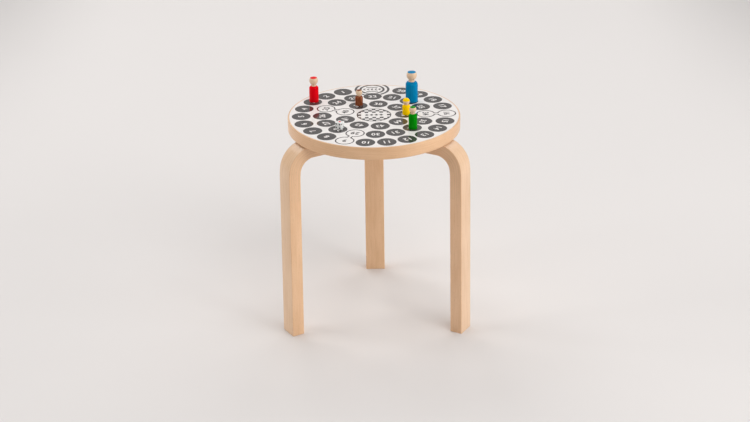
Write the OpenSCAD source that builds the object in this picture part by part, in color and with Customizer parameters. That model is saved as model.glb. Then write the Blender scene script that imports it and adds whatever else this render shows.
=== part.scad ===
// Three-legged birch stool whose round seat is a printed spiral race-game board,
// with five turned peg pawns and one die standing on it.
// The frame's origin is on the floor, at the centre of the object's footprint box.
// +Z is up, +Y runs towards the back leg and +X to the right.

/* [Seat] */
// Height of the seat's top above the floor
seat_h = 440; // [420:1:480]
// Diameter of the seat over its edge band
seat_d = 350; // [346:1:356]
// Thickness of the whole seat
seat_t = 26; // [22:1:30]
// Thickness of the birch band bent round the seat
band_t = 3.1; // [2.5:0.1:5]
// Chamfer on the band's two outer edges
band_edge = 1.2; // [0.4:0.1:2]
// Thickness of the white plastic laminate on top
laminate_t = 1.2; // [0.8:0.1:2]
// Thickness of the birch veneer under the core
backing_t = 1; // [0.6:0.1:2]

/* [Legs] */
// Distance from the seat's axis to the outer edge of a foot
leg_reach = 212.5; // [206:0.5:216]
// Width of a leg, along the seat's rim
leg_w = 41; // [34:1:44]
// Thickness of a leg, inside face to outside face
leg_t = 26; // [22:1:27]
// Angle by which the straight leg leans out towards its foot
splay = 0.5; // [0:0.1:1.5]
// Inside radius of a leg's main bend
bend_r = 30; // [26:1:36]
// Inside radius of the slow bend that leads into the main one
lead_r = 125; // [100:5:150]
// Angle of the slow bend
lead_angle = 8; // [5:1:10]
// Distance from the seat's axis to the inner end of a leg's arm
arm_end = 75; // [60:1:90]

/* [Bend veneers] */
// Number of veneers glued into each leg's sawn end
veneers = 4; // [2:1:5]
// Thickness of one veneer
veneer_t = 1.1; // [0.6:0.1:1.5]
// How far the veneers run down the straight leg, below the bend
veneer_run = 45; // [20:1:80]

/* [Screws] */
// Diameter of a screw's threaded shank
screw_d = 5; // [4:0.5:6]
// Diameter of a screw's countersunk head
screw_head_d = 10; // [8:0.5:12]
// Length of a screw over its head
screw_l = 40; // [38:1:42]
// Radial clearance of the shank in a leg's hole
screw_play = 0.25; // [0.1:0.05:0.5]

/* [Board] */
// Thickness of the printed ink layer
ink_t = 0.1; // [0.05:0.05:0.2]
// Diameter of one printed space
space_d = 38.4; // [34:0.2:39]
// Width of the line round an outlined space
line_w = 2.5; // [1:0.1:3]
// Width of the open neck between two joined spaces
neck_w = 5; // [3:0.5:8]
// Angle by which the print is turned from the back leg
board_turn = 0.94; // [0:0.01:5]
// Radius of the outer ring of spaces
outer_ring_r = 147.6; // [146:0.1:149]
// Radius of the middle ring of spaces
middle_ring_r = 104.9; // [104:0.1:106]
// Radius of the inner ring of spaces
inner_ring_r = 62; // [61:0.1:63]
// Arc left free in the outer ring for the start emblem
start_gap = 49; // [48:1:52]
// Radius of the goal emblem
goal_r = 35; // [30:0.5:38]
// Side of one checker square in the goal emblem
checker = 7.5; // [6:0.5:8]

/* [Pawns and die] */
// Width over the flats of the die
die_w = 14; // [12:1:16]
// Radius of a pawn's shoulder, as a share of its body's radius
shoulder_ratio = 0.58; // [0.42:0.02:0.6]
// Width of a pawn's neck, as a share of its head's width
neck_ratio = 0.54; // [0.46:0.02:0.6]
// Gap left under each loose piece, above the ink
rest_gap = 0.1; // [0.05:0.05:0.2]

/* [Hidden] */
$fn = 96;
seat_r = seat_d / 2;
core_r = seat_r - band_t;
seat_bottom = seat_h - seat_t;
// The footprint runs from the seat's front rim to the back leg's outer face.
axis_y = (seat_r - leg_reach) / 2;
leg_angles = [210, 330, 90];
// Main bend: its centre, and the start of the slow bend under it, in a leg's own
// radius-height plane.
bend_z = seat_bottom - leg_t - bend_r;
lead_z = bend_z - (lead_r - bend_r) * sin(lead_angle);
lead_x = leg_reach - lead_z * tan(splay) - (lead_r + leg_t) / cos(splay);
bend_x = lead_x + (lead_r - bend_r) * cos(lead_angle);
veneer_foot = lead_z - veneer_run;
// Straight steps that draw each bend
lead_steps = 3;
bend_steps = 18;
// Screws: their places along and across an arm, the height of the countersunk head,
// how deep it is sunk, and the cross recess in it
screw_places = [[95, 0], [132, 10], [132, -10]];
screw_head_h = (screw_head_d - screw_d) / 2;
screw_sink = 1;
screw_tip = 4;
screw_point_r = 0.4;
recess = [4.8, 1, 1.8];
pawn_base = seat_h + ink_t + rest_gap;
// Number of spaces in each ring
outer_count = 20;
middle_count = 16;
inner_count = 9;
space_count = outer_count + middle_count + inner_count;
// Spaces drawn as outlines, joined in pairs
joined = [[9, 29], [16, 34], [25, 40]];
outlined = [for (pair = joined, n = pair) n];
// Start emblem: its centre's radius, the inside and outside radius of its two rings,
// how far they stop short of the band and of the space they run behind, and the two
// bars with a row of marks between them
start_r = 146.5;
start_rings = [[21.9, 26.6], [31.8, 36.7]];
print_margin = 0.4;
space_margin = 1.5;
covering_space = 22;
start_bar = [24, 3];
start_bar_y = 11.6;
start_marks = 5;
mark_pitch = 8;
// Goal emblem: its outline, the plain panel's half size in squares, the white joint
// that keeps squares apart, and the diamonds on the panel
goal_line = 2;
goal_half_panel = [3, 1];
checker_joint = 0.15;
diamonds = 4;
diamond_side = 6.4;
diamond_pitch = 9.8;
// Each pawn: x, y from the seat's axis, body diameter, head diameter, flat-top
// diameter, shoulder height and full height
pawns = [
    [-122.8, 82.2, 19.3, 17.7, 13.4, 34.3, 51.9],
    [79, 75.4, 25.2, 21, 16.6, 43.6, 63.4],
    [76.6, -76, 17.3, 14, 9.8, 31.4, 45.6],
    [65.6, 0.8, 15.8, 14, 3, 21.1, 34.9],
    [-29.9, 56.6, 15.7, 13.4, 9.2, 20.7, 32.6]
];
// The lathe's small rounding under a pawn, the angle at which its shoulder ends, how much
// longer than a ball its head may be below its widest point, and the straight steps that
// draw each of its curves
foot_round = 0.8;
shoulder_end = 78;
jaw_stretch = 1.15;
foot_steps = 4;
pawn_steps = 8;
// Die: its place from the seat's axis, its turn, its rounding and its pips, of which
// the single one is larger
die_at = [-68.9, -70];
die_turn = -31.5;
die_round = 1.6;
pip_r = 1.7;
one_pip_r = 2.7;
pip_sink = 0.5;
pip_pitch = 3.9;

birch = [0.87, 0.70, 0.54];
veneer_birch = [0.80, 0.62, 0.46];
ink = [0.27, 0.26, 0.26];

// ---- Frame helpers ----

// Moves from the seat's axis to the frame's origin.
module about_axis() {
    translate([0, axis_y, 0]) children();
}

// Turns a shape drawn along +X, in a leg's radius-height plane, to leg number i.
module at_leg(i) {
    about_axis() rotate([0, 0, leg_angles[i]]) children();
}

// Points of a circular arc about [cx, cy].
function arc(cx, cy, r, from, to, steps) =
    [for (k = [0:steps]) let (a = from + (to - from) * k / steps) [cx + r * cos(a), cy + r * sin(a)]];

// ---- Seat ----

module seat_core() {
    color([0.82, 0.68, 0.50]) difference() {
        about_axis() translate([0, 0, seat_bottom + backing_t])
            cylinder(h = seat_t - backing_t - laminate_t, r = core_r);
        for (i = [0:2]) at_leg(i) screw_bores(screw_d / 2, screw_l - screw_sink);
    }
}

module edge_band() {
    color(birch) about_axis() rotate_extrude() polygon([
        [core_r, seat_bottom],
        [seat_r - band_edge, seat_bottom],
        [seat_r, seat_bottom + band_edge],
        [seat_r, seat_h - band_edge],
        [seat_r - band_edge, seat_h],
        [core_r, seat_h]
    ]);
}

module top_laminate() {
    color([0.96, 0.95, 0.94]) about_axis() translate([0, 0, seat_h - laminate_t])
        cylinder(h = laminate_t, r = core_r);
}

module backing_veneer() {
    color(veneer_birch) difference() {
        about_axis() translate([0, 0, seat_bottom]) cylinder(h = backing_t, r = core_r);
        for (i = [0:2]) at_leg(i) screw_bores(screw_d / 2, screw_l - screw_sink);
    }
}

// ---- Legs ----

// Points along the L, from the foot to the arm's inner end, at a depth from the
// leg's inside face: straight leg, slow bend, main bend and arm.
function l_path(depth, foot_z) = concat(
    [[lead_x + (lead_r + depth) / cos(splay) + (lead_z - foot_z) * tan(splay), foot_z]],
    arc(lead_x, lead_z, lead_r + depth, splay, lead_angle, lead_steps),
    arc(bend_x, bend_z, bend_r + depth, lead_angle, 90, bend_steps),
    [[arm_end, bend_z + bend_r + depth]]
);
function reversed(points) = [for (k = [len(points) - 1:-1:0]) points[k]];

// The L between two depths, as wide as the leg.
module l_layer(depth, thickness, foot_z) {
    rotate([90, 0, 0]) linear_extrude(height = leg_w, center = true)
        polygon(concat(l_path(depth, foot_z), reversed(l_path(depth + thickness, foot_z))));
}

module bend_veneers() {
    for (i = [1:veneers])
        l_layer(leg_t * i / (veneers + 1) - veneer_t / 2, veneer_t, veneer_foot);
}

// Clearance and countersinks for a leg's screws, from the arm's underside up.
module screw_bores(r, top) {
    for (p = screw_places) translate([p[0], p[1], bend_z + bend_r + screw_sink])
        cylinder(h = top, r = r);
}

module screw_countersinks() {
    for (p = screw_places) translate([p[0], p[1], bend_z + bend_r]) {
        translate([0, 0, -1]) cylinder(h = 1 + screw_sink, r = screw_head_d / 2);
        translate([0, 0, screw_sink])
            cylinder(h = screw_head_h, r1 = screw_head_d / 2, r2 = screw_d / 2);
    }
}

module leg(i) {
    color(birch) difference() {
        at_leg(i) l_layer(0, leg_t, 0);
        at_leg(i) bend_veneers();
        at_leg(i) screw_bores(screw_d / 2 + screw_play, leg_t + 1);
        at_leg(i) screw_countersinks();
    }
}

module leg_left() { leg(0); }
module leg_right() { leg(1); }
module leg_back() { leg(2); }

module leg_veneers(i) {
    color(veneer_birch) difference() {
        at_leg(i) bend_veneers();
        at_leg(i) screw_bores(screw_d / 2 + screw_play, leg_t + 1);
        at_leg(i) screw_countersinks();
    }
}

module bend_veneers_left() { leg_veneers(0); }
module bend_veneers_right() { leg_veneers(1); }
module bend_veneers_back() { leg_veneers(2); }

// Countersunk wood screw, head down, with a cross recess in its head.
module screw() {
    shank_top = screw_l - screw_sink - screw_tip;
    difference() {
        union() {
            cylinder(h = screw_head_h, r1 = screw_head_d / 2, r2 = screw_d / 2);
            cylinder(h = shank_top, r = screw_d / 2);
            translate([0, 0, shank_top]) cylinder(h = screw_tip, r1 = screw_d / 2, r2 = screw_point_r);
        }
        for (a = [0, 90]) rotate([0, 0, a]) translate([-recess[0] / 2, -recess[1] / 2, -1])
            cube([recess[0], recess[1], recess[2] + 1]);
    }
}

module leg_screws(i) {
    color([0.75, 0.74, 0.72]) at_leg(i) for (p = screw_places)
        translate([p[0], p[1], bend_z + bend_r + screw_sink]) screw();
}

module screws_left() { leg_screws(0); }
module screws_right() { leg_screws(1); }
module screws_back() { leg_screws(2); }

// ---- Printed board ----

// Radius of the ring that space n lies on, and its angle there. The spaces run
// counter-clockwise from the start and then in towards the goal.
function ring_of(n) = n <= outer_count ? 0 : n <= outer_count + middle_count ? 1 : 2;
function space_r(n) = [outer_ring_r, middle_ring_r, inner_ring_r][ring_of(n)];
function space_angle(n) = board_turn + [
    90 + start_gap / 2 + (360 - start_gap) / (outer_count - 1) * (n - 1),
    67.5 + 360 / middle_count * (n - outer_count - 1),
    360 / inner_count * (n - outer_count - middle_count)
][ring_of(n)];
function space_at(n) = space_r(n) * [cos(space_angle(n)), sin(space_angle(n))];
function is_outlined(n) = len([for (k = outlined) if (k == n) k]) > 0;

// Lays a flat drawing on the laminate as a layer of ink.
module printed() {
    color(ink) about_axis() translate([0, 0, seat_h]) linear_extrude(height = ink_t) children();
}

module printed_spaces() {
    printed() for (n = [1:space_count]) if (!is_outlined(n))
        translate(space_at(n)) circle(d = space_d);
}

// Two spaces and the neck between them, drawn a line's width in from their edge.
module joined_pair(pair, inset) {
    a = space_at(pair[0]);
    b = space_at(pair[1]);
    for (c = [a, b]) translate(c) circle(r = space_d / 2 - inset);
    translate(a) rotate([0, 0, atan2(b[1] - a[1], b[0] - a[0])])
        translate([0, -neck_w / 2 - line_w + inset])
        square([norm(b - a), neck_w + 2 * (line_w - inset)]);
}

module printed_outlines() {
    printed() for (pair = joined) difference() {
        joined_pair(pair, 0);
        joined_pair(pair, line_w);
    }
}

// A mark that points along -X, the way that play leaves the start.
module chevron() {
    polygon([[-3.2, 0], [0.4, 4.6], [3.6, 4.6], [0, 0], [3.6, -4.6], [0.4, -4.6]]);
}

module start_emblem() {
    printed() rotate([0, 0, board_turn]) {
        difference() {
            intersection() {
                translate([0, start_r]) for (ring = start_rings) difference() {
                    circle(r = ring[1]);
                    circle(r = ring[0]);
                }
                circle(r = core_r - print_margin);
            }
            rotate([0, 0, -board_turn]) translate(space_at(covering_space))
                circle(r = space_d / 2 + space_margin);
        }
        translate([0, start_r]) {
            for (s = [-1, 1]) translate([-start_bar[0] / 2, s * start_bar_y - start_bar[1] / 2])
                square(start_bar);
            for (k = [0:start_marks - 1]) translate([(k - (start_marks - 1) / 2) * mark_pitch, 0])
                chevron();
        }
    }
}

// Square of the goal's checker pattern, in column c and row r from the centre.
module checker_square(c, r) {
    translate([c * checker, r * checker]) square(checker - checker_joint, center = true);
}

module goal_emblem() {
    reach = ceil(goal_r / checker) - 1;
    printed() rotate([0, 0, board_turn]) {
        difference() {
            circle(r = goal_r);
            circle(r = goal_r - goal_line);
        }
        intersection() {
            circle(r = goal_r - goal_line / 2);
            for (c = [-reach:reach], r = [-reach:reach])
                if ((c + r) % 2 == 0 && (abs(c) > goal_half_panel[0] || abs(r) > goal_half_panel[1]))
                    checker_square(c, r);
        }
        for (k = [0:diamonds - 1]) translate([(k - (diamonds - 1) / 2) * diamond_pitch, 0])
            rotate([0, 0, 45]) square(diamond_side, center = true);
    }
}

// ---- Pawns ----

// A turned peg: a straight body with a round shoulder, a short straight neck, and a head
// that is a ball above its widest point, a little longer below it, and cut flat on top.
module pawn(i) {
    p = pawns[i];
    body_r = p[2] / 2;
    head_r = p[3] / 2;
    flat_r = p[4] / 2;
    shoulder = p[5];
    top = p[6];
    shoulder_r = shoulder_ratio * body_r;
    neck_a = acos(neck_ratio);
    head_z = top - sqrt(head_r * head_r - flat_r * flat_r);
    jaw_h = min((head_z - shoulder) / sin(neck_a), jaw_stretch * head_r);
    about_axis() translate([p[0], p[1], pawn_base]) rotate_extrude() polygon(concat(
        [[0, 0]],
        arc(body_r - foot_round, foot_round, foot_round, -90, 0, foot_steps),
        arc(body_r - shoulder_r, shoulder - shoulder_r, shoulder_r, 0, shoulder_end, pawn_steps),
        [[neck_ratio * head_r, shoulder]],
        [for (k = [pawn_steps:-1:1]) let (a = neck_a * k / pawn_steps)
            [head_r * cos(a), head_z - jaw_h * sin(a)]],
        arc(0, head_z, head_r, 0, acos(flat_r / head_r), pawn_steps),
        [[0, top]]
    ));
}

module pawn_red() { color([0.80, 0.05, 0.08]) pawn(0); }
module pawn_blue() { color([0.02, 0.45, 0.66]) pawn(1); }
module pawn_green() { color([0.03, 0.52, 0.08]) pawn(2); }
module pawn_yellow() { color([0.98, 0.78, 0.05]) pawn(3); }
module pawn_brown() { color([0.42, 0.18, 0.08]) pawn(4); }

// ---- Die ----

// Pip places on a face, in pitches from its centre, for each number of pips.
pip_places = [
    [[0, 0]],
    [[-1, -1], [1, 1]],
    [[-1, -1], [0, 0], [1, 1]],
    [[-1, -1], [1, 1], [-1, 1], [1, -1]],
    [[-1, -1], [1, 1], [-1, 1], [1, -1], [0, 0]],
    [[-1, -1], [1, 1], [-1, 1], [1, -1], [-1, 0], [1, 0]]
];
// Rotations that bring the +Z face to each face, in the order of their numbers.
// One is up and opposite faces add to seven.
pip_faces = [[0, 0, 0], [0, 90, 0], [-90, 0, 0], [90, 0, 0], [0, -90, 0], [180, 0, 0]];

// A cube whose edges and corners are rounded off by cylinders and a ball.
module die_body() {
    intersection() {
        cube(die_w, center = true);
        sphere(r = die_w / 2 * sqrt(3) - die_round);
        intersection_for(turn = [[0, 0, 0], [90, 0, 0], [0, 90, 0]]) rotate(turn)
            cylinder(h = die_w + 1, r = die_w / 2 * sqrt(2) - die_round / 2, center = true);
    }
}

// The ball whose cap is a shallow dimple of this radius, sunk into the top face.
module dimple(r) {
    ball_r = (r * r + pip_sink * pip_sink) / (2 * pip_sink);
    translate([0, 0, die_w / 2 - pip_sink + ball_r]) sphere(r = ball_r);
}

module die() {
    color([0.95, 0.95, 0.93]) about_axis()
        translate([die_at[0], die_at[1], pawn_base + die_w / 2]) rotate([0, 0, die_turn])
        difference() {
            die_body();
            for (n = [0:5]) rotate(pip_faces[n]) for (p = pip_places[n])
                translate([p[0] * pip_pitch, p[1] * pip_pitch, 0]) dimple(n == 0 ? one_pip_r : pip_r);
        }
}

// ---- Output ----

seat_core();
edge_band();
top_laminate();
backing_veneer();
leg_left();
leg_right();
leg_back();
bend_veneers_left();
bend_veneers_right();
bend_veneers_back();
screws_left();
screws_right();
screws_back();
printed_spaces();
printed_outlines();
start_emblem();
goal_emblem();
pawn_red();
pawn_blue();
pawn_green();
pawn_yellow();
pawn_brown();
die();
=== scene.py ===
"""Looks of the board game stool: three bent-birch legs, a banded round seat whose top is a
printed race-game board, five turned pegs and a die.

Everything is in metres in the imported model's frame. Places and overall sizes come from the
CAD nodes' boxes. A leg is drawn in its own plane, with x the distance from the seat's axis,
y across the leg and z the height, and is then turned to its place.
"""

import math

import bmesh
import bpy
from mathutils import Matrix, Quaternion, Vector


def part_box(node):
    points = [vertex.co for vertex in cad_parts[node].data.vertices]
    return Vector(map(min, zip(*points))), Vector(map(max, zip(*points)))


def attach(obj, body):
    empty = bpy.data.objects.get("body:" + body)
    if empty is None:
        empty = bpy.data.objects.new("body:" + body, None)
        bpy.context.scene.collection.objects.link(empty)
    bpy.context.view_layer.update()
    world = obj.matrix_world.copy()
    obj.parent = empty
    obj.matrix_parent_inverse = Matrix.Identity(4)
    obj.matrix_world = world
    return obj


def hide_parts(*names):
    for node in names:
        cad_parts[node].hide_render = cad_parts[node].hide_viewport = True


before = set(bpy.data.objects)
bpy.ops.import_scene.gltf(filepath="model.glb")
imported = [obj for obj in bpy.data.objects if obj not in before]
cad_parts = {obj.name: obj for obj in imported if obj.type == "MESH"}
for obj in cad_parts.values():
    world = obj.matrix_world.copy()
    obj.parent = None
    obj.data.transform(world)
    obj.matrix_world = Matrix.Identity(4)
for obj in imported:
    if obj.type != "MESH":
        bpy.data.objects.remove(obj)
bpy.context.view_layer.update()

# ---- Sizes taken from the frame ----

band_low, band_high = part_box("edge_band")
laminate_low, laminate_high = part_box("top_laminate")
leg_low, leg_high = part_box("leg_back")
ink_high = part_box("printed_spaces")[1]

AXIS = Vector(((band_low.x + band_high.x) / 2, (band_low.y + band_high.y) / 2, 0))
SEAT_R = (band_high.x - band_low.x) / 2
CORE_R = (laminate_high.x - laminate_low.x) / 2
SEAT_TOP = band_high.z
SEAT_BOTTOM = band_low.z
INK_TOP = ink_high.z
LEG_REACH = leg_high.y - AXIS.y
LEG_W = leg_high.x - leg_low.x
ARM_END = leg_low.y - AXIS.y

# ---- Sizes of the legs, as the CAD part has them ----

LEG_ANGLES = {"left": 210, "right": 330, "back": 90}
LEG_T = 0.026
SPLAY = math.radians(0.5)
BEND_R = 0.030
LEAD_R = 0.125
LEAD_ANGLE = math.radians(8)
BEND_Z = SEAT_BOTTOM - LEG_T - BEND_R
LEAD_Z = BEND_Z - (LEAD_R - BEND_R) * math.sin(LEAD_ANGLE)
LEAD_X = LEG_REACH - LEAD_Z * math.tan(SPLAY) - (LEAD_R + LEG_T) / math.cos(SPLAY)
BEND_X = LEAD_X + (LEAD_R - BEND_R) * math.cos(LEAD_ANGLE)
VENEERS = 4
VENEER_T = 0.0011
VENEER_FOOT = LEAD_Z - 0.045
SCREW_PLACES = ((0.095, 0.0), (0.132, 0.010), (0.132, -0.010))
SCREW_HEAD_R = 0.005
SCREW_SHANK_R = 0.00275
SCREW_SINK = 0.001

# ---- Sizes of the printed board, as the CAD part has them ----

BOARD_TURN = 0.94
START_GAP = 49
# Each ring's radius, number of spaces, first space's angle and angle between spaces
RINGS = (
    (0.1476, 20, 90 + START_GAP / 2, (360 - START_GAP) / 19),
    (0.1049, 16, 67.5, 360 / 16),
    (0.0620, 9, 360 / 9, 360 / 9),
)
OUTLINED = (9, 16, 25, 29, 34, 40)
SPACE_COUNT = sum(count for _, count, _, _ in RINGS)

# ---- Sizes of the pegs and the die, as the CAD part has them ----

SHOULDER_RATIO = 0.58
SHOULDER_END = math.radians(78)
NECK_RATIO = 0.54
JAW_STRETCH = 1.15
PEG_FOOT = 0.0008
DIE_TURN = -31.5
DIE_ROUND = 0.0016
PIP_R = 0.0017
ONE_PIP_R = 0.0027
PIP_SINK = 0.0005
PIP_PITCH = 0.0039
# The turn that brings the top face to the face with this many pips
PIP_FACES = {1: ("X", 0), 2: ("Y", 90), 3: ("X", -90), 4: ("X", 90), 5: ("Y", -90), 6: ("X", 180)}

# ---- Sizes that only the visual model has ----

# Rounded edges of a leg, of its two ends, of a veneer and of the band, outside and inside
LEG_EDGE = 0.0012
END_EDGE = 0.0008
VENEER_EDGE = 0.0001
BAND_EDGE = 0.0016
BAND_EDGE_IN = 0.0004
# Least part of a leg's rounded edges that is left where its ends are rounded off
EDGE_LEFT = 0.35
VENEER_PROUD = 0.00004
# How far a screw's hole stops short of the arm's top, under the seat
HOLE_END = 0.003
# Height, boldness and spacing of the numerals, and thickness of the white ones
NUMERAL_H = 0.0128
NUMERAL_BOLD = 0.03
NUMERAL_SPACING = 1.08
WHITE_INK_T = 0.00003
# Thickness of the lacquer on a peg, and half that of the paint in a pip
LACQUER = 0.00012
PIP_FILM = 0.00003
# How far a pip's cutter and its paint reach up the pip, as parts of the angle to its edge
CUTTER_REACH = 1.15
PAINT_REACH = 0.96

# ---- Fineness of the meshes: steps round a circle, and angle that counts as a hard edge ----

BAND_STEPS = 360
PEG_STEPS = 96
HOLE_STEPS = 40
HARD_EDGE = math.radians(35)


# ---- Mesh helpers ----

def link(name, data):
    """A new object in the scene with this mesh, text, light or camera."""
    thing = bpy.data.objects.new(name, data)
    bpy.context.scene.collection.objects.link(thing)
    return thing


def to_mesh(name, shape):
    """The mesh of a finished bmesh."""
    mesh = bpy.data.meshes.new(name)
    shape.to_mesh(mesh)
    shape.free()
    return mesh


def join(name, meshes):
    """One mesh of several, which are used up."""
    shape = bmesh.new()
    for mesh in meshes:
        shape.from_mesh(mesh)
        bpy.data.meshes.remove(mesh)
    return to_mesh(name, shape)


def mesh_from(name, vertices, faces):
    """A mesh with its faces turned outwards."""
    mesh = bpy.data.meshes.new(name)
    mesh.from_pydata(vertices, [], faces)
    shape = bmesh.new()
    shape.from_mesh(mesh)
    bmesh.ops.remove_doubles(shape, verts=shape.verts, dist=1e-7)
    bmesh.ops.recalc_face_normals(shape, faces=shape.faces)
    shape.to_mesh(mesh)
    shape.free()
    return mesh


def smooth(mesh):
    """Smooth shading, apart from the hard edges."""
    mesh.shade_smooth()
    mesh.set_sharp_from_angle(angle=HARD_EDGE)


def cut(mesh, cutter):
    """Takes one mesh away from another, exactly."""
    body = link("cut_body", mesh)
    tool = link("cut_tool", cutter)
    boolean = body.modifiers.new("cut", "BOOLEAN")
    boolean.operation = "DIFFERENCE"
    boolean.solver = "EXACT"
    boolean.use_self = True
    boolean.object = tool
    bpy.context.view_layer.update()
    graph = bpy.context.evaluated_depsgraph_get()
    result = bpy.data.meshes.new_from_object(body.evaluated_get(graph), depsgraph=graph)
    bpy.data.objects.remove(body)
    bpy.data.objects.remove(tool)
    return result


def steps(start, end, count):
    """Evenly spaced values from start to end, both included."""
    return [start + (end - start) * k / count for k in range(count + 1)]


def arc(x, y, radius, start, end, count):
    """Points of a circular arc about (x, y), angles in radians."""
    return [(x + radius * math.cos(a), y + radius * math.sin(a)) for a in steps(start, end, count)]


def lathe(name, outline, segments, closed=False):
    """Turns an outline of (radius, height) points round the Z axis. A closed outline goes
    round a hollow; an open one starts and ends on the axis."""
    vertices, faces, rings = [], [], []
    for radius, height in outline:
        count = 1 if radius < 1e-7 else segments
        rings.append([len(vertices) + k for k in range(count)])
        for k in range(count):
            a = math.tau * k / segments
            vertices.append((radius * math.cos(a), radius * math.sin(a), height))
    pairs = list(zip(rings, rings[1:]))
    if closed:
        pairs.append((rings[-1], rings[0]))
    for low, high in pairs:
        for k in range(segments):
            corners = [low[k % len(low)], low[(k + 1) % len(low)],
                       high[(k + 1) % len(high)], high[k % len(high)]]
            face = list(dict.fromkeys(corners))
            if len(face) > 2:
                faces.append(face)
    return mesh_from(name, vertices, faces)


def set_grain(mesh, place):
    """Stores, on every face corner, where that point lies in its piece of wood: along the
    grain, across it and through it. place(point, middle) works it out, where middle is the
    face's own centre."""
    grain = mesh.attributes.new("grain", "FLOAT_VECTOR", "CORNER")
    for polygon in mesh.polygons:
        for corner in polygon.loop_indices:
            point = mesh.vertices[mesh.loops[corner].vertex_index].co
            grain.data[corner].vector = place(point, polygon.center)


def add_piece(name, mesh, material, body, slot, stands_for=()):
    """A finished piece of the object: shown, on its body, with its finish."""
    mesh.materials.clear()
    mesh.materials.append(material)
    piece = link(name, mesh)
    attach(piece, body)
    if stands_for:
        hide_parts(*stands_for)


# ---- Material helpers ----

def add_node(tree, kind, inputs=None, **settings):
    """A shader node. Each input is a value or another node's output."""
    made = tree.nodes.new("ShaderNode" + kind)
    for key, value in settings.items():
        setattr(made, key, value)
    for key, value in (inputs or {}).items():
        if isinstance(value, bpy.types.NodeSocket):
            tree.links.new(value, made.inputs[key])
        else:
            made.inputs[key].default_value = value
    return made


def new_material(name, **finish):
    """A material with one Principled shader, whose plain values are set on its sockets."""
    material = bpy.data.materials.new(name)
    material.use_nodes = True
    shader = material.node_tree.nodes["Principled BSDF"]
    for key, value in finish.items():
        shader.inputs[key.replace("_", " ")].default_value = value
    return material, material.node_tree, shader


def noise(tree, vector, scale, stretch=(1, 1, 1), detail=3, roughness=0.5):
    """Noise from 0 to 1. stretch multiplies the coordinates, so a small one draws it out."""
    mapped = add_node(tree, "Mapping", {"Vector": vector, "Scale": stretch})
    made = add_node(tree, "TexNoise", {"Vector": mapped.outputs[0], "Scale": scale,
                                       "Detail": detail, "Roughness": roughness})
    return made.outputs["Fac"]


def spread(tree, value, low, high, to_low=0.0, to_high=1.0):
    """Maps low..high to to_low..to_high, and stops at the ends."""
    inputs = {"Value": value, "From Min": low, "From Max": high, "To Min": to_low, "To Max": to_high}
    return add_node(tree, "MapRange", inputs, interpolation_type="SMOOTHSTEP").outputs[0]


def calculate(tree, operation, first, second=0.0):
    """A sum on one or two values."""
    return add_node(tree, "Math", {0: first, 1: second}, operation=operation).outputs[0]


def mix(tree, factor, first, second, blend="MIX"):
    """A colour between two colours."""
    made = add_node(tree, "Mix", {0: factor}, data_type="RGBA", blend_type=blend)
    for socket, value in ((made.inputs[6], first), (made.inputs[7], second)):
        if isinstance(value, bpy.types.NodeSocket):
            tree.links.new(value, socket)
        else:
            socket.default_value = (*value, 1)
    return made.outputs[2]


def relief(tree, shader, height, distance, strength=1.0):
    """Bump of this height, in metres, on the shader."""
    bump = add_node(tree, "Bump", {"Height": height, "Distance": distance, "Strength": strength})
    tree.links.new(bump.outputs[0], shader.inputs["Normal"])


# ---- Materials ----

def grain_place(tree, source, along):
    """Where a point lies in its piece of wood, with the grain along X: as set_grain stored it,
    or worked out from the piece's own axes."""
    if source == "grain":
        return add_node(tree, "Attribute", attribute_name="grain").outputs["Vector"]
    where = add_node(tree, "TexCoord").outputs["Object"]
    if along == "Z":
        turn = {"Vector": where, "Rotation": (0, math.pi / 2, 0)}
        where = add_node(tree, "Mapping", turn).outputs[0]
    return where


def growth_rings(tree, where, pith, pitch):
    """Rings about the pith line. Each darkens slowly from 0 to 1 and ends sharply."""
    drift = noise(tree, where, 9, (1, 2.2, 2.2), detail=2)
    from_pith = add_node(tree, "Mapping", {"Vector": where, "Location": pith, "Scale": (0, 1, 1)})
    distance = add_node(tree, "VectorMath", {0: from_pith.outputs[0]}, operation="LENGTH")
    rings = calculate(tree, "DIVIDE", distance.outputs["Value"], pitch)
    rings = calculate(tree, "ADD", rings, calculate(tree, "MULTIPLY", drift, 2.2))
    part = calculate(tree, "FRACT", rings)
    late = spread(tree, part, 0.45, 0.97)
    return calculate(tree, "MULTIPLY", late, spread(tree, part, 0.97, 1.0, 1.0, 0.0))


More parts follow.
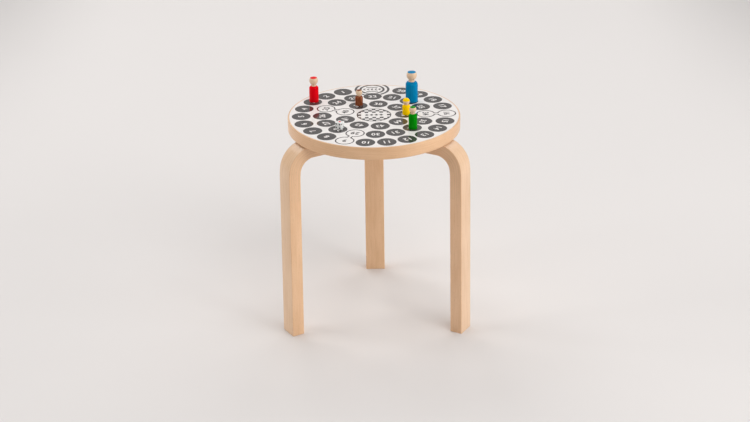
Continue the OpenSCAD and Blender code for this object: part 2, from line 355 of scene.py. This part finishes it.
def wood(name, light, dark, pith, ring_pitch=0.0028, coat=0.35, roughness=0.42, source="grain",
         along="X", width=None):
    """Birch under clear lacquer: faint growth rings about a pith line beside the piece, long
    fibres, short dark flecks and a soft mottle. source is grain where set_grain has stored
    the grain's course, or else object, and along is then the axis that the grain follows. A
    piece with a width shows the deeper tone of edge grain on its two sides."""
    material, tree, shader = new_material(
        name, Coat_Weight=coat, Coat_Roughness=0.22, Specular_IOR_Level=0.4)
    where = grain_place(tree, source, along)
    late = growth_rings(tree, where, pith, ring_pitch)
    fibres = noise(tree, where, 900, (0.022, 1, 1), detail=4, roughness=0.65)
    mottle = noise(tree, where, 30, (0.35, 1, 1), detail=3)
    flecks = spread(tree, noise(tree, where, 1500, (0.09, 1, 1), detail=1), 0.66, 0.74)

    shade = calculate(tree, "MULTIPLY", late, 0.19)
    shade = calculate(tree, "ADD", shade, spread(tree, fibres, 0.30, 0.75, 0.0, 0.50))
    shade = calculate(tree, "ADD", shade, spread(tree, mottle, 0.30, 0.72, 0.0, 0.38))
    colour = mix(tree, shade, light, dark)
    if width:
        across = calculate(tree, "ABSOLUTE", add_node(tree, "SeparateXYZ", {0: where}).outputs["Y"])
        side = spread(tree, across, width / 2 - LEG_EDGE, width / 2 - LEG_EDGE / 4)
        colour = mix(tree, side, colour, EDGE_GRAIN, "MULTIPLY")
    fleck_colour = tuple(c * 0.62 for c in dark)
    colour = mix(tree, calculate(tree, "MULTIPLY", flecks, 0.45), colour, fleck_colour)
    tree.links.new(colour, shader.inputs["Base Color"])
    tree.links.new(spread(tree, fibres, 0.2, 0.8, roughness - 0.06, roughness + 0.08),
                   shader.inputs["Roughness"])
    height = calculate(tree, "SUBTRACT", fibres, calculate(tree, "MULTIPLY", flecks, 0.8))
    relief(tree, shader, height, 0.00006, 0.6)
    return material


def gloss(tree, shader, texture):
    """The seat's clear gloss finish, with a texture that is barely felt."""
    tree.links.new(spread(tree, texture, 0.2, 0.8, 0.07, 0.12), shader.inputs["Roughness"])
    relief(tree, shader, texture, 0.000003, 0.5)


def laminate():
    """White high-pressure laminate under a clear gloss finish, with a faint print-like mottle."""
    material, tree, shader = new_material("white_laminate", Specular_IOR_Level=0.5)
    where = add_node(tree, "TexCoord").outputs["Object"]
    cloud = noise(tree, where, 18, detail=4)
    tree.links.new(mix(tree, cloud, (0.835, 0.795, 0.77), (0.86, 0.82, 0.795)),
                   shader.inputs["Base Color"])
    gloss(tree, shader, noise(tree, where, 1400, detail=3))
    return material


def ink():
    """Screen-printed dark grey ink under the same gloss finish, a little uneven in cover."""
    material, tree, shader = new_material("grey_ink", Specular_IOR_Level=0.5)
    where = add_node(tree, "TexCoord").outputs["Object"]
    cover = noise(tree, where, 60, detail=5, roughness=0.6)
    tree.links.new(mix(tree, cover, (0.051, 0.045, 0.044), (0.066, 0.060, 0.059)),
                   shader.inputs["Base Color"])
    gloss(tree, shader, noise(tree, where, 2200, detail=2))
    return material


def paint(name, colour, deep, grain=0.15):
    """Satin lacquer on turned wood. The wood's fibres and the lathe's rings show in its
    surface, and grain says how much of the fibres shows in its colour."""
    material, tree, shader = new_material(name, Coat_Weight=0.05, Coat_Roughness=0.10,
                                          Specular_IOR_Level=0.04)
    where = add_node(tree, "TexCoord").outputs["Object"]
    cover = noise(tree, where, 120, (1, 1, 0.4), detail=4)
    fibres = noise(tree, where, 900, (1, 1, 0.06), detail=3)
    streaks = noise(tree, where, 420, (1, 1, 0.10), detail=3)
    shade = calculate(tree, "ADD", calculate(tree, "MULTIPLY", cover, 0.6),
                      spread(tree, streaks, 0.35, 0.70, 0.0, 4 * grain))
    tree.links.new(mix(tree, shade, colour, deep), shader.inputs["Base Color"])
    lathe_rings = noise(tree, where, 1100, (0.02, 0.02, 1), detail=1)
    surface = calculate(tree, "ADD", fibres, lathe_rings)
    tree.links.new(spread(tree, cover, 0.25, 0.75, 0.26, 0.38), shader.inputs["Roughness"])
    relief(tree, shader, surface, 0.00004, 0.5)
    return material


def moulded(name, colour, roughness, coat=0.3, specular=0.5):
    """Polished plastic, or the paint in it, with faint flow marks and fine scratches."""
    material, tree, shader = new_material(name, Specular_IOR_Level=specular, Coat_Weight=coat,
                                          Coat_Roughness=0.05)
    where = add_node(tree, "TexCoord").outputs["Object"]
    flow = noise(tree, where, 160, detail=3)
    tree.links.new(mix(tree, flow, colour, tuple(0.94 * c for c in colour)),
                   shader.inputs["Base Color"])
    scratches = noise(tree, where, 2600, (1, 0.06, 0.3), detail=2)
    tree.links.new(spread(tree, scratches, 0.3, 0.8, roughness, roughness + 0.14),
                   shader.inputs["Roughness"])
    relief(tree, shader, scratches, 0.00001, 0.4)
    return material


def zinc():
    """Zinc-plated steel with a faint spangle."""
    material, tree, shader = new_material("zinc_steel", Metallic=1.0)
    where = add_node(tree, "TexCoord").outputs["Object"]
    spangle = add_node(tree, "TexVoronoi", {"Vector": where, "Scale": 900.0}).outputs["Distance"]
    tree.links.new(mix(tree, spangle, (0.56, 0.55, 0.52), (0.72, 0.71, 0.67)),
                   shader.inputs["Base Color"])
    tree.links.new(spread(tree, spangle, 0.0, 0.8, 0.28, 0.46), shader.inputs["Roughness"])
    relief(tree, shader, noise(tree, where, 1800, detail=2), 0.00002, 0.5)
    return material


BIRCH_LIGHT = (0.80, 0.565, 0.365)
BIRCH_DARK = (0.66, 0.425, 0.245)
EDGE_GRAIN = (1.03, 0.97, 0.91)
# How far the grain is shifted from one leg to the next, and from a leg's wood to its veneers
LEG_GRAIN = 1.3
VENEER_GRAIN = 0.37


def tinted(tint):
    """The light and the dark of birch with a cast of its own, as boards differ."""
    return [tuple(a * b for a, b in zip(tone, tint)) for tone in (BIRCH_LIGHT, BIRCH_DARK)]


legs_birch = {
    "left": wood("leg_birch_left", *tinted((0.975, 0.965, 0.985)), (0, 0.021, 0.052), width=LEG_W),
    "right": wood("leg_birch_right", *tinted((0.97, 0.955, 0.985)), (0, -0.018, 0.047), width=LEG_W),
    "back": wood("leg_birch_back", *tinted((0.98, 0.92, 0.87)), (0, 0.012, 0.060), width=LEG_W),
}
veneer_birch = wood("veneer_birch", (0.72, 0.49, 0.30), (0.58, 0.36, 0.20), (0, 0.03, 0.01),
                    ring_pitch=0.0012)
band_birch = wood("band_birch", *tinted((0.96, 0.87, 0.80)), (0, -0.37, -0.21), ring_pitch=0.0035)
backing_birch = wood("backing_birch", (0.78, 0.56, 0.37), (0.66, 0.44, 0.27), (0, 0.31, -0.36),
                     ring_pitch=0.006, coat=0.1, roughness=0.55, source="object")
core_wood = wood("core_wood", (0.66, 0.47, 0.29), (0.52, 0.35, 0.20), (0, 0.02, -0.38),
                 coat=0.0, roughness=0.7, source="object")
turned_wood = wood("turned_wood", (0.80, 0.60, 0.42), (0.69, 0.46, 0.29), (0, 0.011, 0.006),
                   ring_pitch=0.0016, coat=0.1, roughness=0.5, source="object", along="Z")
white_laminate = laminate()
grey_ink = ink()
zinc_steel = zinc()
white_plastic = moulded("white_plastic", (0.80, 0.80, 0.78), 0.14)
black_paint = moulded("black_paint", (0.006, 0.006, 0.007), 0.3, coat=0.0, specular=0.15)
paints = {
    "red": paint("red_paint", (0.84, 0.001, 0.008), (0.68, 0.001, 0.006)),
    "blue": paint("blue_paint", (0.0, 0.230, 0.465), (0.0, 0.178, 0.372)),
    "green": paint("green_paint", (0.0, 0.268, 0.002), (0.0, 0.210, 0.001)),
    "yellow": paint("yellow_paint", (0.98, 0.66, 0.0), (0.96, 0.56, 0.0)),
    "brown": paint("brown_paint", (0.43, 0.145, 0.070), (0.17, 0.042, 0.014), grain=0.3),
}


# ---- Legs ----

def post_x(z):
    """Distance of the straight leg's inside face from the seat's axis at a height."""
    return LEAD_X + LEAD_R / math.cos(SPLAY) + (LEAD_Z - z) * math.tan(SPLAY)


def leg_stations(foot_z, rounding):
    """Stops along the inside face, from the foot to the arm's end: x, z, the outward normal's
    angle, and how far the section is drawn in there, to round the two ends off."""
    ease = [(0, 0)]
    if rounding:
        ease = [(rounding * (1 - math.cos(a)), rounding * (1 - math.sin(a)))
                for a in steps(0, math.pi / 2, 4)]
    arm_z = BEND_Z + BEND_R
    foot = [(post_x(foot_z + run), foot_z + run, 0.0, inset) for run, inset in ease]
    straight = [(post_x(z), z, 0.0, 0) for z in steps(foot_z, LEAD_Z, 12)[1:-1]]
    lead = [(LEAD_X + LEAD_R * math.cos(a), LEAD_Z + LEAD_R * math.sin(a), a, 0)
            for a in steps(SPLAY, LEAD_ANGLE, 6)]
    bend = [(BEND_X + BEND_R * math.cos(a), BEND_Z + BEND_R * math.sin(a), a, 0)
            for a in steps(LEAD_ANGLE, math.pi / 2, 32)[1:]]
    arm = [(x, arm_z, math.pi / 2, 0) for x in steps(BEND_X, ARM_END, 4)[1:-1]]
    end = [(ARM_END + run, arm_z, math.pi / 2, inset) for run, inset in reversed(ease)]
    return foot + straight + lead + bend + arm + end


def section(low, high, width, edge, inset):
    """A rounded rectangle of (depth, across) points, between two depths and drawn in by inset.
    Its corners get tighter as it is drawn in."""
    radius = max(edge - inset, edge * EDGE_LEFT)
    half_d = (high - low) / 2 - inset - radius
    half_w = width / 2 - inset - radius
    corner_steps = 2 if edge == VENEER_EDGE else 5
    points = []
    for quarter, (side_d, side_w) in enumerate(((1, 1), (-1, 1), (-1, -1), (1, -1))):
        start = math.pi / 2 * quarter
        points += arc((low + high) / 2 + side_d * half_d, side_w * half_w, radius,
                      start, start + math.pi / 2, corner_steps)
    return points


def sweep_leg(name, low, high, width, edge, foot_z, rounding=0.0):
    """The L between two depths from the leg's inside face, in the leg's own plane."""
    vertices, faces = [], []
    for x, z, angle, inset in leg_stations(foot_z, rounding):
        ring = section(low, high, width, edge, inset)
        for depth, across in ring:
            vertices.append((x + math.cos(angle) * depth, across, z + math.sin(angle) * depth))
    count = len(ring)
    last = len(vertices) - count
    for here in range(0, last, count):
        for k in range(count):
            after = (k + 1) % count
            faces.append((here + k, here + after, here + count + after, here + count + k))
    faces.append(tuple(range(count)))
    faces.append(tuple(range(last, last + count)))
    return mesh_from(name, vertices, faces)


def leg_grain(offset):
    """Grain that follows the bend: along the leg, across it, and the depth from its inside."""
    lead_middle = LEAD_R + LEG_T / 2
    bend_middle = BEND_R + LEG_T / 2
    bend_start = LEAD_Z + (LEAD_ANGLE - SPLAY) * lead_middle
    arm_start = bend_start + (math.pi / 2 - LEAD_ANGLE) * bend_middle

    def place(point, _):
        x, across, z = point
        lead_turn = math.atan2(z - LEAD_Z, x - LEAD_X)
        bend_turn = math.atan2(z - BEND_Z, x - BEND_X)
        if x < BEND_X:
            along = arm_start + BEND_X - x
            depth = z - BEND_Z - BEND_R
        elif bend_turn > LEAD_ANGLE:
            along = bend_start + (bend_turn - LEAD_ANGLE) * bend_middle
            depth = math.hypot(x - BEND_X, z - BEND_Z) - BEND_R
        elif lead_turn > SPLAY:
            along = LEAD_Z + (lead_turn - SPLAY) * lead_middle
            depth = math.hypot(x - LEAD_X, z - LEAD_Z) - LEAD_R
        else:
            along = z
            depth = x - post_x(z)
        return along + offset, across, depth

    return place


def countersinks():
    """The cutter for the screws' holes in the underside of an arm, which starts below it."""
    face = BEND_Z + BEND_R
    below = face - SCREW_HEAD_R
    cone_low = face + SCREW_SINK
    cone_top = cone_low + SCREW_HEAD_R - SCREW_SHANK_R
    end = face + LEG_T - HOLE_END
    outline = [(0, below), (SCREW_HEAD_R, below), (SCREW_HEAD_R, cone_low),
               (SCREW_SHANK_R, cone_top), (SCREW_SHANK_R, end), (0, end)]
    holes = [lathe("hole", outline, HOLE_STEPS) for _ in SCREW_PLACES]
    for hole, (x, y) in zip(holes, SCREW_PLACES):
        hole.transform(Matrix.Translation((x, y, 0)))
    return join("holes", holes)


def add_leg(side, offset):
    """One leg, and the veneers that were glued into its sawn end before it was bent."""
    turn = Matrix.Translation(AXIS) @ Matrix.Rotation(math.radians(LEG_ANGLES[side]), 4, "Z")
    blank = sweep_leg("leg", 0, LEG_T, LEG_W, LEG_EDGE, 0, END_EDGE)
    mesh = cut(blank, countersinks())
    set_grain(mesh, leg_grain(offset))
    mesh.transform(turn)
    smooth(mesh)
    add_piece(f"leg_{side}_birch", mesh, legs_birch[side], "stool", "leg_birch", [f"leg_{side}"])

    width = LEG_W + 2 * VENEER_PROUD
    depths = [LEG_T * i / (VENEERS + 1) - VENEER_T / 2 for i in range(1, VENEERS + 1)]
    mesh = join("veneers", [sweep_leg("strip", low, low + VENEER_T, width, VENEER_EDGE, VENEER_FOOT)
                            for low in depths])
    set_grain(mesh, leg_grain(offset + VENEER_GRAIN))
    mesh.transform(turn)
    smooth(mesh)
    add_piece(f"bend_veneers_{side}_edges", mesh, veneer_birch, "stool", "veneer_birch",
              [f"bend_veneers_{side}"])


# ---- Seat ----

def add_band():
    """The birch band round the seat, with rounded edges outside and sharper ones inside."""
    outer = SEAT_R - BAND_EDGE
    inner = CORE_R + BAND_EDGE_IN
    outline = arc(outer, SEAT_BOTTOM + BAND_EDGE, BAND_EDGE, -math.pi / 2, 0, 6)
    outline += arc(outer, SEAT_TOP - BAND_EDGE, BAND_EDGE, 0, math.pi / 2, 6)
    outline += arc(inner, SEAT_TOP - BAND_EDGE_IN, BAND_EDGE_IN, math.pi / 2, math.pi, 2)
    outline += arc(inner, SEAT_BOTTOM + BAND_EDGE_IN, BAND_EDGE_IN, math.pi, 1.5 * math.pi, 2)
    mesh = lathe("band", outline, BAND_STEPS, closed=True)

    def place(point, middle):
        """Round the band, up it and out from its axis. The face on the seam counts on."""
        centre = math.atan2(middle.y, middle.x)
        turn = math.atan2(point.y, point.x)
        turn += math.tau * round((centre - turn) / math.tau)
        return turn * SEAT_R, point.z, math.hypot(point.x, point.y)

    set_grain(mesh, place)
    mesh.transform(Matrix.Translation(AXIS))
    smooth(mesh)
    add_piece("edge_band_birch", mesh, band_birch, "stool", "band_birch", ["edge_band"])


# ---- Printed board ----

def space_at(number):
    """Centre and outward angle of a printed space, counted from the start."""
    step = number - 1
    for radius, count, first_angle, pitch in RINGS:
        if step < count:
            break
        step -= count
    angle = math.radians(first_angle + pitch * step + BOARD_TURN)
    return AXIS + radius * Vector((math.cos(angle), math.sin(angle), 0)), angle


def thicken(name, flat, thickness):
    """The solid on a flat mesh whose faces look up. The flat mesh is used up."""
    shape = bmesh.new()
    shape.from_mesh(flat)
    bpy.data.meshes.remove(flat)
    bmesh.ops.remove_doubles(shape, verts=shape.verts, dist=1e-6)
    shape.verts.index_update()
    count = len(shape.verts)
    vertices = [(v.co.x, v.co.y, z) for z in (0, thickness) for v in shape.verts]
    faces = []
    for face in shape.faces:
        corners = [v.index for v in face.verts]
        faces.append(corners[::-1])
        faces.append([count + k for k in corners])
        for loop in face.loops:
            if loop.edge.is_boundary:
                start, end = loop.vert.index, loop.link_loop_next.vert.index
                faces.append([start, end, count + end, count + start])
    shape.free()
    mesh = bpy.data.meshes.new(name)
    mesh.from_pydata(vertices, [], faces)
    mesh.shade_smooth()
    return mesh


def flat_numeral(number):
    """The flat mesh of a number, in the size that the font gives it."""
    text = bpy.data.curves.new("numeral", "FONT")
    text.body = str(number)
    text.size = 1
    text.offset = NUMERAL_BOLD
    text.space_character = NUMERAL_SPACING
    text.resolution_u = 6
    thing = link("numeral", text)
    bpy.context.view_layer.update()
    graph = bpy.context.evaluated_depsgraph_get()
    mesh = bpy.data.meshes.new_from_object(thing.evaluated_get(graph), depsgraph=graph)
    bpy.data.objects.remove(thing)
    return mesh


def numeral(number, thickness):
    """A number's mesh, centred on its space with its top towards the rim."""
    mesh = flat_numeral(number)
    xs = [v.co.x for v in mesh.vertices]
    ys = [v.co.y for v in mesh.vertices]
    middle = Vector(((max(xs) + min(xs)) / 2, (max(ys) + min(ys)) / 2, 0))
    scale = NUMERAL_H / (max(ys) - min(ys))
    centre, angle = space_at(number)
    mesh.transform(Matrix.Translation(centre) @ Matrix.Rotation(angle - math.pi / 2, 4, "Z")
                   @ Matrix.Scale(scale, 4) @ Matrix.Translation(-middle))
    return thicken("numeral", mesh, thickness)


def add_numerals(name, numbers, material, slot, low, thickness):
    """One piece with the numerals of these spaces."""
    mesh = join(name, [numeral(number, thickness) for number in numbers])
    mesh.transform(Matrix.Translation((0, 0, low)))
    add_piece(name, mesh, material, "stool", slot)


# ---- Pegs ----

def add_peg(colour, head_d, flat_d, shoulder, wrap=2.0):
    """A turned wooden peg, the lacquer on its body, and the lacquer on its crown, which comes
    down over the crown's edge by wrap degrees of the head. flat_d is the flat top's width and
    shoulder is the body's height."""
    node = f"pawn_{colour}"
    low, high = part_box(node)
    body_r = (high.x - low.x) / 2
    height = high.z - low.z
    centre = Vector(((low.x + high.x) / 2, (low.y + high.y) / 2, low.z))
    head_r = head_d / 2
    head_z = height - math.sqrt(head_r ** 2 - (flat_d / 2) ** 2)
    shoulder_r = SHOULDER_RATIO * body_r
    neck = math.acos(NECK_RATIO)
    jaw_h = min((head_z - shoulder) / math.sin(neck), JAW_STRETCH * head_r)
    flat_z = height - LACQUER
    flat = math.asin((flat_z - head_z) / head_r)

    body = arc(body_r - PEG_FOOT, PEG_FOOT, PEG_FOOT, -math.pi / 2, 0, 6)
    body += arc(body_r - shoulder_r, shoulder - shoulder_r, shoulder_r, 0, SHOULDER_END, 14)
    under_skin = [(r - LACQUER, max(z, LACQUER)) for r, z in body]
    jaw = [(NECK_RATIO * head_r, shoulder)]
    jaw += [(head_r * math.cos(a), head_z - jaw_h * math.sin(a))
            for a in steps(neck, 0, 16)[:-1]]
    brow = arc(0, head_z, head_r, 0, flat, 20)

    def add(part, outline, material, slot, closed, stands_for=()):
        """One piece of the peg, turned from its outline."""
        mesh = lathe(part, outline, PEG_STEPS, closed)
        mesh.transform(Matrix.Translation(centre))
        smooth(mesh)
        add_piece(f"{node}_{part}", mesh, material, node, slot, stands_for)

    turned = [(0, LACQUER)] + under_skin + jaw + brow + [(0, flat_z)]
    add("wood", turned, turned_wood, "turned_wood", False, [node])
    add("lacquer", body + under_skin[::-1], paints[colour], f"{colour}_paint", True)

    start = flat - math.radians(wrap)
    inner_r = head_r - LACQUER
    cap = arc(0, head_z, head_r + LACQUER, start, flat, 12)
    cap += [(head_r * math.cos(flat), height), (0, height), (0, flat_z - LACQUER)]
    cap.append((inner_r * math.cos(start), head_z + inner_r * math.sin(start)))
    add("crown", cap, paints[colour], f"{colour}_paint", True)


# ---- Die ----

def pip_places(count):
    """Places of the pips on a face, in pitches from its centre."""
    places = [(0, 0)] if count % 2 else []
    if count > 1:
        places += [(-1, -1), (1, 1)]
    if count > 3:
        places += [(-1, 1), (1, -1)]
    if count == 6:
        places += [(-1, 0), (1, 0)]
    return places


def at_pips(faces, shape_of):
    """One mesh of the shapes that shape_of(radius) draws at every pip of these faces."""
    pips = []
    for count in faces:
        axis, angle = PIP_FACES[count]
        turn = Matrix.Rotation(math.radians(angle), 4, axis)
        for x, y in pip_places(count):
            pip = shape_of(ONE_PIP_R if count == 1 else PIP_R)
            pip.transform(turn @ Matrix.Translation((x * PIP_PITCH, y * PIP_PITCH, 0)))
            pips.append(pip)
    return join("pips", pips)


def rounded_cube(width):
    """The die before its pips are sunk."""
    cube = bmesh.new()
    bmesh.ops.create_cube(cube, size=width)
    bmesh.ops.bevel(cube, geom=cube.edges[:], offset=DIE_ROUND, segments=6, profile=0.5,
                    affect="EDGES", clamp_overlap=True)
    return to_mesh("die", cube)


def add_die():
    """A moulded die: a rounded cube with dished pips, and the paint in them. The single pip
    is red and the others are black."""
    low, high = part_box("die")
    width = high.z - low.z
    place = Matrix.Translation((low + high) / 2) @ Matrix.Rotation(math.radians(DIE_TURN), 4, "Z")
    bottom = -math.pi / 2

    def ball(radius):
        """Radius of the ball that sinks a pip of this radius, and its centre's height."""
        r = (radius ** 2 + PIP_SINK ** 2) / (2 * PIP_SINK)
        return r, width / 2 - PIP_SINK + r

    def dimple(radius):
        """The cutter, which reaches a little out of the face."""
        r, z = ball(radius)
        reach = bottom + CUTTER_REACH * math.asin(radius / r)
        outline = arc(0, z, r, bottom, reach, 8)
        return lathe("dimple", outline + [(0, outline[-1][1])], HOLE_STEPS)

    def pip_paint(radius):
        """The paint, which stops a little short of the pip's edge."""
        r, z = ball(radius)
        reach = bottom + PAINT_REACH * math.asin(radius / r)
        outline = arc(0, z, r + PIP_FILM, bottom, reach, 6)
        outline += arc(0, z, r - PIP_FILM, reach, bottom, 6)
        return lathe("pip", outline, HOLE_STEPS, closed=True)

    body = cut(rounded_cube(width), at_pips(PIP_FACES, dimple))
    pieces = (("body", body, white_plastic, "white_plastic", ["die"]),
              ("pips", at_pips([2, 3, 4, 5, 6], pip_paint), black_paint, "black_paint", []),
              ("single_pip", at_pips([1], pip_paint), paints["red"], "red_paint", []))
    for part, mesh, material, slot, stands_for in pieces:
        mesh.transform(place)
        smooth(mesh)
        add_piece(f"die_{part}", mesh, material, "die", slot, stands_for)


# ---- Stage ----

FLOOR_SIDE = 12.0
FLOOR_FRONT = -9.0
FLOOR_BACK = 6.0
SWEEP_R = 2.0
BACKDROP_RISE = 4.0
LIGHT_DISTANCE = 5.0
# Soft boxes: name, degrees about the stool from its right, degrees up, size, power
LIGHTS = (
    ("key", -30, 15, 3.0, 110),
    ("key_above", -60, 45, 3.0, 88),
    ("right", 0, 15, 3.0, 51),
    ("left", 180, 15, 3.0, 132),
    ("behind_left", 120, 45, 3.0, 78),
    ("behind_right", 60, 45, 3.0, 54),
    ("behind", 90, 26, 4.5, 20),
    ("overhead", 0, 88, 3.0, 34),
)
# Up to this many degrees they are kept out of reflections, and don't glare on the glossy seat
LOW_LIGHT = 20
WORLD_COLOUR = (1.0, 0.985, 0.975, 1)
WORLD_STRENGTH = 0.115
# Painted shade: how much darker the floor is painted beyond the stool and to both sides of it
PAINTED_CORNER_SHADE = 0.27


def backdrop_paint():
    """Matt pale grey, a little cloudy, with painted shade that darkens it towards the far corners."""
    material, tree, shader = new_material("backdrop", Roughness=0.8, Specular_IOR_Level=0.2)
    where = add_node(tree, "TexCoord").outputs["Object"]
    cloud = noise(tree, where, 0.7, detail=2)
    colour = mix(tree, cloud, (0.715, 0.684, 0.668), (0.735, 0.704, 0.688))
    parts = add_node(tree, "SeparateXYZ", {0: where}).outputs
    # Painted shade: the floor is darkened to both sides of the stool and far beyond it
    aside = spread(tree, calculate(tree, "ABSOLUTE", parts["X"]), 0.75, 1.35, 0.0, PAINTED_CORNER_SHADE)
    beyond = spread(tree, parts["Y"], 0.5, 2.4)
    shade = calculate(tree, "MULTIPLY", aside, beyond)
    tree.links.new(mix(tree, shade, colour, (0.0, 0.0, 0.0)), shader.inputs["Base Color"])
    return material


def add_backdrop():
    """A pale floor that curves up into a backdrop."""
    line = [(FLOOR_FRONT, 0.0)]
    line += arc(FLOOR_BACK, SWEEP_R, SWEEP_R, -math.pi / 2, 0, 24)
    line.append((FLOOR_BACK + SWEEP_R, SWEEP_R + BACKDROP_RISE))
    vertices = [(x, y, z) for x in (-FLOOR_SIDE, FLOOR_SIDE) for y, z in line]
    count = len(line)
    faces = [(k, k + 1, count + k + 1, count + k) for k in range(count - 1)]
    mesh = bpy.data.meshes.new("backdrop")
    mesh.from_pydata(vertices, [], faces)
    mesh.shade_smooth()
    mesh.materials.append(backdrop_paint())
    link("backdrop", mesh)


def add_world():
    """Faint light from all round."""
    world = bpy.data.worlds.new("studio")
    world.use_nodes = True
    background = world.node_tree.nodes["Background"]
    background.inputs["Color"].default_value = WORLD_COLOUR
    background.inputs["Strength"].default_value = WORLD_STRENGTH
    bpy.context.scene.world = world


def add_light(name, azimuth, elevation, size, power):
    """A square soft box that faces the stool, at an angle about it and above the floor."""
    data = bpy.data.lights.new(name, "AREA")
    data.size = size
    data.energy = power
    light = link(name, data)
    round_it = math.radians(azimuth)
    above = math.radians(elevation)
    away = Vector((math.cos(round_it) * math.cos(above), math.sin(round_it) * math.cos(above),
                   math.sin(above)))
    light.location = AXIS + Vector((0, 0, SEAT_TOP / 2)) + LIGHT_DISTANCE * away
    light.rotation_mode = "QUATERNION"
    light.rotation_quaternion = away.to_track_quat("Z", "Y")
    light.visible_glossy = elevation > LOW_LIGHT


# The camera's place from the foot of the seat's axis, its turn to the right of straight
# behind, its tilt down and its roll, and its lens on a full-frame sensor
CAMERA_PLACE = Vector((-0.0245, -3.4782, 1.8059))
CAMERA_YAW = math.radians(0.393)
CAMERA_PITCH = math.radians(24.43)
CAMERA_ROLL = math.radians(-0.784)
LENS = 88.32
SENSOR = 36


def add_camera():
    """The camera at the photograph's viewing angle."""
    data = bpy.data.cameras.new("camera")
    data.lens = LENS
    data.sensor_width = SENSOR
    camera = link("camera", data)
    level = math.cos(CAMERA_PITCH)
    ahead = Vector((math.sin(CAMERA_YAW) * level, math.cos(CAMERA_YAW) * level, -math.sin(CAMERA_PITCH)))
    camera.location = AXIS + CAMERA_PLACE
    camera.rotation_mode = "QUATERNION"
    camera.rotation_quaternion = ahead.to_track_quat("-Z", "Y") @ Quaternion((0, 0, 1), CAMERA_ROLL)
    bpy.context.scene.camera = camera


# ---- The whole scene ----

def carry_over(material, *nodes):
    """Gives CAD nodes that stay as they are their finish."""
    for node in nodes:
        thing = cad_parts[node]
        thing.data.materials.clear()
        thing.data.materials.append(material)


add_camera()
add_backdrop()
add_world()
for light in LIGHTS:
    add_light(*light)

for index, side in enumerate(LEG_ANGLES):
    add_leg(side, LEG_GRAIN * index)
add_band()
carry_over(white_laminate, "top_laminate")
carry_over(backing_birch, "backing_veneer")
carry_over(core_wood, "seat_core")
carry_over(zinc_steel, "screws_left", "screws_right", "screws_back")
carry_over(grey_ink, "printed_spaces", "printed_outlines", "start_emblem", "goal_emblem")

dark_spaces = [n for n in range(1, SPACE_COUNT + 1) if n not in OUTLINED]
add_numerals("numerals_white", dark_spaces, white_laminate, "white_laminate", INK_TOP, WHITE_INK_T)
add_numerals("numerals_grey", OUTLINED, grey_ink, "grey_ink", SEAT_TOP, INK_TOP - SEAT_TOP)

add_peg("red", head_d=0.0177, flat_d=0.0134, shoulder=0.0343)
add_peg("blue", head_d=0.021, flat_d=0.0166, shoulder=0.0436)
add_peg("green", head_d=0.014, flat_d=0.0098, shoulder=0.0314, wrap=9)
add_peg("yellow", head_d=0.014, flat_d=0.003, shoulder=0.0211, wrap=62)
add_peg("brown", head_d=0.0134, flat_d=0.0092, shoulder=0.0207)
add_die()

bpy.context.scene.view_settings.view_transform = "Standard"
